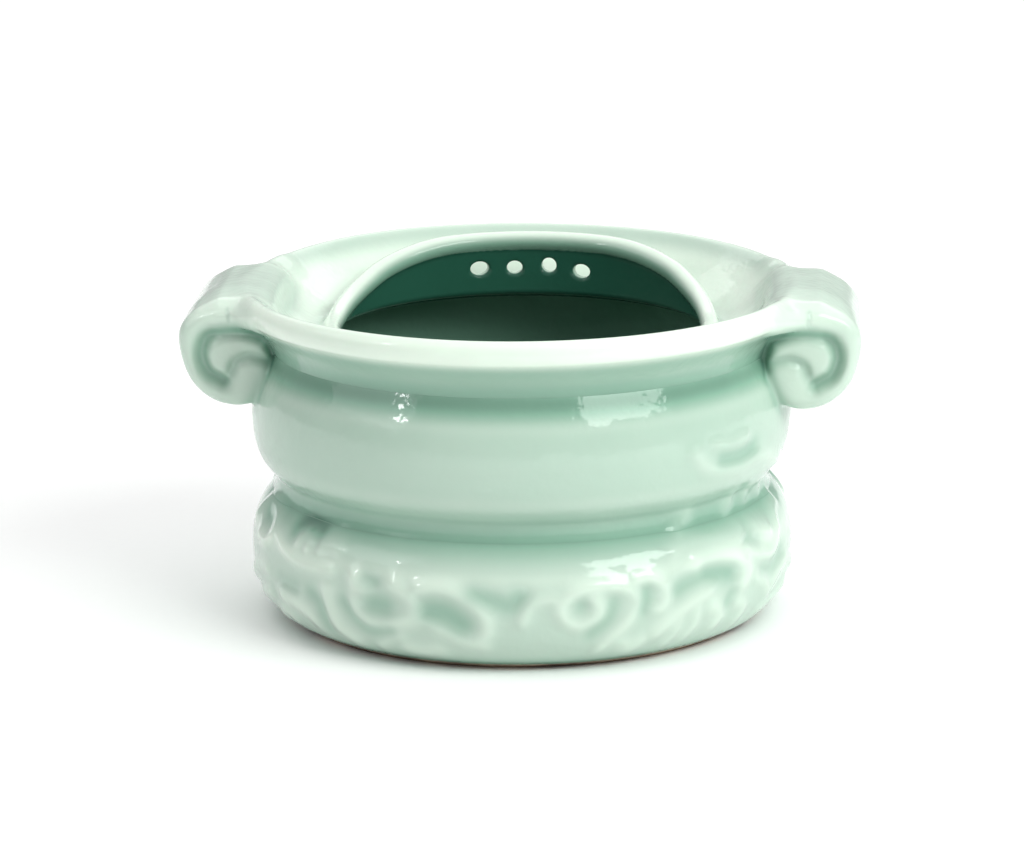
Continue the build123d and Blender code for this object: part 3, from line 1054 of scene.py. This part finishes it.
class BRUSHPOT_OT_rim_dish(bpy.types.Operator):
    """Rim: the cove, the bead and the dish, let down a little over the lugs"""

    bl_idname = "brushpot.rim_dish"
    bl_label = "Rim and Dish"

    def execute(self, context):
        shape = context.scene.brush_pot_shape
        line, under = rim_line(), under_line()

        def outside(turn):
            radius, height = line[:, :1] + 0 * turn, line[:, 1:] + 0 * turn
            x, y = radius * np.cos(turn), radius * np.sin(turn)
            part = settle(x, y)
            height = np.where(height > SETTLE_Z, SETTLE_Z + (height - SETTLE_Z) * (1 - part), height)
            return radius, height, outside_glaze_and_painted_light(x, y, height)

        inner_end = (NECK_RADIUS - shape.wall, NECK_Z)
        under = np.vstack([under[:-1], [inner_end]])
        lines = [
            outside,
            plain_line(np.linspace(line[-1], under[0], 4), 1.0),
            # The dish's underside faces the inside of the pot and takes the dark inside colour as painted
            # shade.
            plain_line(under, 2.0),
            plain_line(np.linspace(inner_end, line[0], 4), 0.5),
        ]
        piece = turned_piece("rim_dish_glazed", lines, 600, glaze_of())
        finish_piece(piece, "celadon_glaze", "rim_dish")
        return {"FINISHED"}


class BRUSHPOT_OT_mouth_collar(bpy.types.Operator):
    """Collar round the mouth: a wall that rises to the back, with a rounded lip and four holes"""

    bl_idname = "brushpot.mouth_collar"
    bl_label = "Mouth Collar"

    def execute(self, context):
        shape = context.scene.brush_pot_shape
        dish = dish_field()
        half, lip_radius, slant = 1.3, 1.75, 0.29
        middle = COLLAR_RADIUS - half
        front, back = GUTTER_Z + 1.3, float(COLLAR_HIGH[2])
        rise = curve_through(
            [
                (-1.2, front), (-0.4, front), (-0.1, front + 0.1), (0.10, front + 0.75),
                (0.31, front + 2.95), (0.47, front + 5.1), (0.60, front + 7.2), (0.77, front + 9.35),
                (0.87, front + 10.2), (1.0, back), (1.2, back + 0.4),
            ],
            200,
        )
        bottom = COLLAR_FOOT + 0.6
        # A hole is its place along the wall, its height over the gutter, and its width and height.
        holes = (
            (-11.9, 4.4, 1.15, 0.85), (-3.95, 4.4, 0.95, 0.8), (3.8, 4.9, 0.9, 0.9), (11.3, 3.9, 1.1, 0.85),
        )

        def lip_height(y):
            return np.interp(y / COLLAR_RADIUS, rise[:, 0], rise[:, 1])

        def drains(x, y, z):
            best = 9.0
            for along_wall, rise_at, width, height in holes:
                turn = along_wall / COLLAR_RADIUS
                along = x * math.cos(turn) - y * math.sin(turn)
                ahead = x * math.sin(turn) + y * math.cos(turn)
                hole = (np.hypot(along / width, (z - GUTTER_Z - rise_at) / height) - shape.drain / 2) * height
                best = np.minimum(best, np.where(ahead > 0, hole, 9.0))
            return best

        def ring(x, y, z):
            radius = np.hypot(x, y)
            top = lip_height(y)
            tilt = np.sqrt(1 + (slant * smooth(-5, 10, y)) ** 2)
            up = np.maximum(z - top + half, 0) / tilt
            down = np.maximum(bottom + half - z, 0)
            wall = np.hypot(radius - middle, up + down) - half
            lip = np.hypot(radius - middle + 0.25, (z - top + lip_radius) / tilt) - lip_radius
            return soft_cut(soft_union(wall, lip, 1.2), drains(x, y, z), 1.0)

        def glaze_depth_and_painted_light(x, y, z):
            radius = np.hypot(x, y)
            inside = 1 - smooth(middle - 0.9, middle - 0.1, radius)
            down = lip_height(y * middle / np.maximum(radius, 1.0)) - z
            below = 1 - smooth(GUTTER_Z - 2.0, GUTTER_Z - 0.8, z)
            inside = np.maximum(inside, below)
            # The lip's crest is paler: thin glaze over it, and a painted highlight along it.
            lip = hump(down, 0, 1.3)
            # Painted shade down the inner face under the lip, and a crisp painted dark edge below it where
            # the shaded inside of the pot begins.
            under = 1.1 * inside * smooth(0.0, 2.0, down)
            deep = 1.05 * inside * smooth(3.2, 3.6, down)
            # In each drain hole the bore is painted light above its middle and painted shade below it.
            through = 1 - smooth(-0.35, 0.15, drains(x, y, z))
            bore_painted_light_and_shade = 0.7 - 1.6 * smooth(-0.6, 0.5, z - GUTTER_Z - 4.4)
            own = -0.7 * lip + (under + deep) * (1 - through) + bore_painted_light_and_shade * through
            share = smooth(0.1, 0.9, ring(x, y, z) / shape.collar_blend)
            # Below the gutter, inside the pot, the collar takes the dark inside colour as painted shade.
            beside = outside_glaze_and_painted_light(x, y, z) * (1 - below) + 1.9 * below
            return own * (1 - share) + beside * share

        low = (-COLLAR_RADIUS - 6, -COLLAR_RADIUS - 6, bottom - 3.0)
        high = (COLLAR_RADIUS + 6, COLLAR_RADIUS + 6, back + 2)

        step = 0.4

        def body(x, y, z):
            return dish(np.hypot(x, y), z)

        def reach(z):
            return shape.collar_blend

        piece = luted_piece("mouth_collar_pierced", ring, body, reach, low, high, step, glaze_depth_and_painted_light)
        finish_piece(piece, "celadon_glaze", "mouth_collar")
        return {"FINISHED"}


class BRUSHPOT_OT_scroll_handles(bpy.types.Operator):
    """Two scroll handles, luted to the drum, the cove and the rim"""

    bl_idname = "brushpot.scroll_handles"
    bl_label = "Scroll Handles"

    def execute(self, context):
        shape = context.scene.brush_pot_shape
        body = FIELDS["body"]
        for side, word in ((1, "right"), (-1, "left")):
            field, depth = FIELDS[side]

            def glaze_depth_and_painted_light(x, y, z):
                face = smooth(HANDLE_HALF - 4.5, HANDLE_HALF - 1.0, np.abs(y))
                carved = depth(x, y, z)
                own = -0.2 - 0.15 * face * (1 - carved) + 1.15 * carved + junction_glaze_and_painted_shade(x, y, z, body, field)
                # Painted highlight along the top edge of each end face of the lug.
                edge = smooth(RIM_TOP - 6.5, RIM_TOP - 3.0, z)
                edge = edge * smooth(HANDLE_HALF - 6.0, HANDLE_HALF - 2.0, np.abs(y))
                own = np.minimum(own, 1.35) - 0.25 * edge
                share = smooth(0.0, 0.85, field(x, y, z) / reach(z))
                return own * (1 - share) + outside_glaze_and_painted_light(x, y, z) * share

            def reach(z):
                return shape.handle_blend + 2.0 * smooth(RIM_TOP - 8, RIM_TOP - 3, z)

            ends = sorted((side * (HANDLE_X - 17), side * (HANDLE_X + 11)))
            low = (ends[0], -HANDLE_HALF - 13, HANDLE_Z - 17)
            high = (ends[1], HANDLE_HALF + 13, HANDLE_Z + 16)
            name = word + "_scroll_handle_luted"
            step = 0.42
            piece = luted_piece(name, field, body, reach, low, high, step, glaze_depth_and_painted_light)
            finish_piece(piece, "celadon_glaze", word + "_scroll_handle")
        return {"FINISHED"}


class BRUSHPOT_OT_stage(bpy.types.Operator):
    """Paper sweep, soft lights and the camera"""

    bl_idname = "brushpot.stage"
    bl_label = "Stage"

    def execute(self, context):
        scene = context.scene
        half = 3.0
        mesh = bpy.data.meshes.new("paper_sweep")
        corners = [(-half, -half, 0), (half, -half, 0), (half, half, 0), (-half, half, 0)]
        mesh.from_pydata(corners, [], [(0, 1, 2, 3)])
        mesh.materials.append(shared("paper_sweep", sweep_material))
        sweep = bpy.data.objects.new("paper_sweep", mesh)
        scene.collection.objects.link(sweep)

        world = bpy.data.worlds.new("white_room")
        scene.world = world
        world.use_nodes = True
        room = world.node_tree
        ways = add_node(room, "ShaderNodeTexCoord")
        parts = add_node(room, "ShaderNodeSeparateXYZ", None, {"Vector": ways.outputs["Generated"]})
        up = add_node(
            room, "ShaderNodeMath", {1: 2.0}, {0: parts.outputs["Z"]}, operation="POWER", use_clamp=True
        )
        ceiling = add_node(
            room, "ShaderNodeMath", {1: 1.03, 2: 0.36}, {0: up.outputs[0]}, operation="MULTIPLY_ADD"
        )
        behind = add_node(
            room,
            "ShaderNodeMapRange",
            {"From Min": -0.9, "From Max": 0.5, "To Min": 0.55, "To Max": 1.1},
            {"Value": parts.outputs["Y"]},
        )
        both = {0: ceiling.outputs[0], 1: behind.outputs[0]}
        total = add_node(room, "ShaderNodeMath", None, both, operation="MULTIPLY")
        room.links.new(total.outputs[0], room.nodes["Background"].inputs["Strength"])
        room.nodes["Background"].inputs["Color"].default_value = linear("#FFFFFF")

        pot = np.array((0, 0, NECK_Z * 0.6)) * MM
        backdrop = np.array((0, 1.35, 0))
        white, greenish = (1.0, 1.0, 1.0), (0.94, 1.0, 0.95)
        for name, place, target, size, power, colour in (
            ("softbox_right", (0.64, -0.48, 0.62), pot, (0.80, 0.46), 5.0, greenish),
            ("strip_right", (0.65, -0.49, 0.60), pot, (0.60, 0.20), 2.1, greenish),
            ("softbox_left", (-0.80, -0.30, 0.54), pot, (0.70, 0.35), 0.8, white),
            ("bare_lamp_left", (-0.55, -0.43, 0.42), pot, (0.05, 0.05), 0.14, white),
            ("background_lamp", (0.0, 1.35, 1.20), backdrop, (2.4, 1.0), 7.0, white),
        ):
            light = bpy.data.lights.new(name, "AREA")
            light.shape = "RECTANGLE"
            light.size, light.size_y = size
            light.energy = power
            light.color = colour
            lamp = bpy.data.objects.new(name, light)
            lamp.location = place
            # The big softbox only lights the pot: the strip in front of it gives the reflection.
            lamp.visible_glossy = name != "softbox_right"
            lamp.rotation_euler = look_from(np.array(place), target)
            scene.collection.objects.link(lamp)

        distance = 1.0
        elevation, azimuth, roll = math.radians(13.8), math.radians(4.0), math.radians(-0.5)
        away, side = -math.cos(azimuth) * math.cos(elevation), math.sin(azimuth) * math.cos(elevation)
        back = np.array((side, away, math.sin(elevation)))
        right = np.array((math.cos(azimuth), math.sin(azimuth), 0))
        up = np.cross(back, right)
        aim_height, aim_left, aim_up = 35.0, 1.96, 2.5
        target = np.array((0, 0, aim_height)) * MM - right * aim_left * MM + up * aim_up * MM
        camera = bpy.data.objects.new("camera", bpy.data.cameras.new("camera"))
        camera.data.lens, camera.data.sensor_width = 170.0, 36.0
        camera.data.clip_start = 0.05
        camera.location = target + back * distance
        camera.rotation_euler = turned(back, right, up, roll)
        scene.collection.objects.link(camera)
        scene.camera = camera
        scene.view_settings.view_transform = "Standard"
        return {"FINISHED"}


def look_from(place, target):
    """Rotation of a lamp that shines from its place at the target."""
    return Vector(target - place).to_track_quat("-Z", "Y").to_euler()


def turned(back, right, up, roll):
    """Rotation of a camera from its axes, rolled about its line of sight."""
    axes = Matrix((right, up, back)).transposed()
    return (axes @ Matrix.Rotation(roll, 3, "Z")).to_euler()


class BRUSHPOT_PT_pieces(bpy.types.Panel):
    """Builders of the pot's pieces, with their sizes and colours"""

    bl_label = "Brush Pot"
    bl_idname = "BRUSHPOT_PT_pieces"
    bl_space_type = "VIEW_3D"
    bl_region_type = "UI"
    bl_category = "Brush Pot"

    def draw(self, context):
        for group in (context.scene.brush_pot_shape, context.scene.brush_pot_glaze):
            for key in group.bl_rna.properties.keys():
                if key not in ("rna_type", "name"):
                    self.layout.prop(group, key)
        for operator in OPERATORS:
            self.layout.operator(operator.bl_idname)


OPERATORS = (
    BRUSHPOT_OT_foot_ring,
    BRUSHPOT_OT_floor_disc,
    BRUSHPOT_OT_lower_section,
    BRUSHPOT_OT_upper_section,
    BRUSHPOT_OT_rim_dish,
    BRUSHPOT_OT_mouth_collar,
    BRUSHPOT_OT_scroll_handles,
    BRUSHPOT_OT_stage,
)
CLASSES = (BrushPotShape, BrushPotGlaze) + OPERATORS + (BRUSHPOT_PT_pieces,)


def register():
    for item in CLASSES:
        bpy.utils.register_class(item)
    bpy.types.Scene.brush_pot_shape = bpy.props.PointerProperty(type=BrushPotShape)
    bpy.types.Scene.brush_pot_glaze = bpy.props.PointerProperty(type=BrushPotGlaze)


def unregister():
    del bpy.types.Scene.brush_pot_shape
    del bpy.types.Scene.brush_pot_glaze
    for item in reversed(CLASSES):
        bpy.utils.unregister_class(item)


def main():
    register()
    prepare_fields()
    for operator in OPERATORS:
        group, name = operator.bl_idname.split(".")
        getattr(getattr(bpy.ops, group), name)()


if __name__ == "__main__":
    main()
